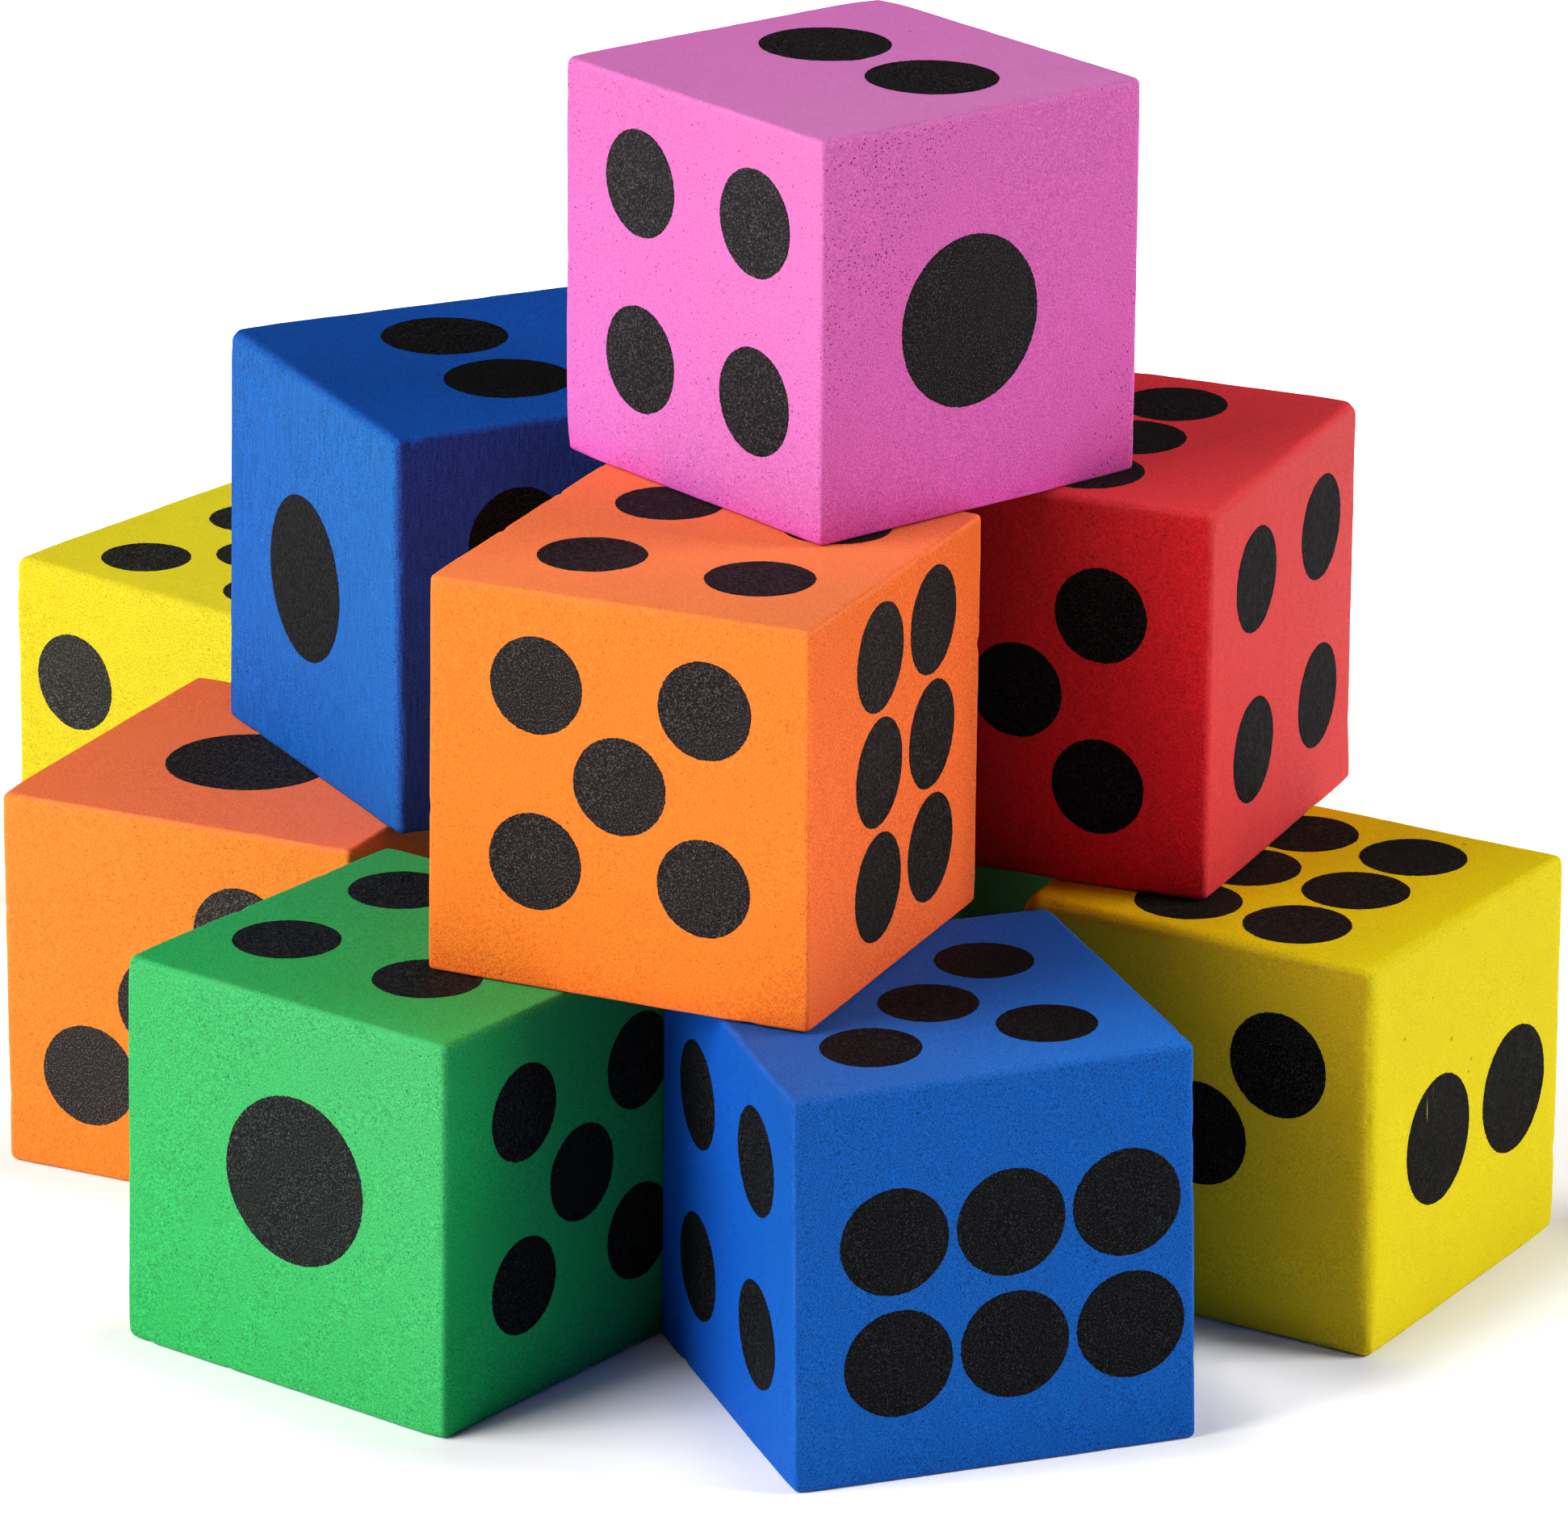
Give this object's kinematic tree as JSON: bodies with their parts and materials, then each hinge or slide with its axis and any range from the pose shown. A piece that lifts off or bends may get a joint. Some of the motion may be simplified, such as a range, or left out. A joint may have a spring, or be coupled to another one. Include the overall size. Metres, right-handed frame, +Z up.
{
  "type": "stack of foam dice",
  "caption": "Stack of loose foam dice in mixed bright colours: rounded foam cubes with large black printed spots, on three levels, each die separate and free to be taken off.",
  "frame": {"origin": "middle of the footprint's bounding box, at the level of the floor under the dice", "axes": "+Z up; -Y is the front of the stack, which the picture is taken from; +X is to the right seen from the front"},
  "size_m": [0.153, 0.1812, 0.114],
  "materials": {
    "foam_pink": "matt closed-cell EVA foam with fine open cut cells",
    "foam_green": "matt closed-cell EVA foam with fine open cut cells",
    "foam_blue": "matt closed-cell EVA foam with fine open cut cells",
    "foam_yellow": "matt closed-cell EVA foam with fine open cut cells",
    "foam_orange": "matt closed-cell EVA foam with fine open cut cells",
    "foam_red": "matt closed-cell EVA foam with fine open cut cells",
    "ink_black": "matt screen-printed ink, slightly open where it skips the foam cells"
  },
  "bodies": {
    "green_back_die": {"green_back_foam_block": "foam_green", "green_back_printed_pips": "ink_black"},
    "green_front_die": {"green_front_foam_block": "foam_green", "green_front_printed_pips": "ink_black"},
    "blue_front_die": {"blue_front_foam_block": "foam_blue", "blue_front_printed_pips": "ink_black"},
    "yellow_right_die": {"yellow_right_foam_block": "foam_yellow", "yellow_right_printed_pips": "ink_black"},
    "orange_left_die": {"orange_left_foam_block": "foam_orange", "orange_left_printed_pips": "ink_black"},
    "yellow_left_die": {"yellow_left_foam_block": "foam_yellow", "yellow_left_printed_pips": "ink_black"},
    "orange_upper_die": {"orange_upper_foam_block": "foam_orange", "orange_upper_printed_pips": "ink_black"},
    "blue_upper_die": {"blue_upper_foam_block": "foam_blue", "blue_upper_printed_pips": "ink_black"},
    "red_die": {"red_foam_block": "foam_red", "red_printed_pips": "ink_black"},
    "pink_die": {"pink_foam_block": "foam_pink", "pink_printed_pips": "ink_black"}
  },
  "joints": [
    {"name": "orange_upper_lift", "type": "slide", "parent": "green_back_die", "child": "orange_upper_die", "axis": [0, 0, 1], "range_m": [0, 0.045]},
    {"name": "pink_lift", "type": "slide", "parent": "orange_upper_die", "child": "pink_die", "axis": [0, 0, 1], "range_m": [0, 0.045]},
    {"name": "blue_upper_lift", "type": "slide", "parent": "green_back_die", "child": "blue_upper_die", "axis": [0, 0, 1], "range_m": [0, 0.08]},
    {"name": "red_slide_out", "type": "slide", "parent": "green_back_die", "child": "red_die", "axis": [0.809, 0.5878, 0], "range_m": [0, 0.06]},
    {"name": "green_front_slide_out", "type": "slide", "parent": "green_back_die", "child": "green_front_die", "axis": [-0.6054, -0.7959, 0], "range_m": [0, 0.05]},
    {"name": "blue_front_slide_out", "type": "slide", "parent": "green_back_die", "child": "blue_front_die", "axis": [0.342, -0.9397, 0], "range_m": [0, 0.05]},
    {"name": "yellow_right_slide_out", "type": "slide", "parent": "green_back_die", "child": "yellow_right_die", "axis": [1, 0, 0], "range_m": [0, 0.05]},
    {"name": "orange_left_slide_out", "type": "slide", "parent": "green_back_die", "child": "orange_left_die", "axis": [-1, 0, 0], "range_m": [0, 0.05]},
    {"name": "yellow_left_lift", "type": "slide", "parent": "green_back_die", "child": "yellow_left_die", "axis": [0, 0, 1], "range_m": [0, 0.045]}
  ]
}
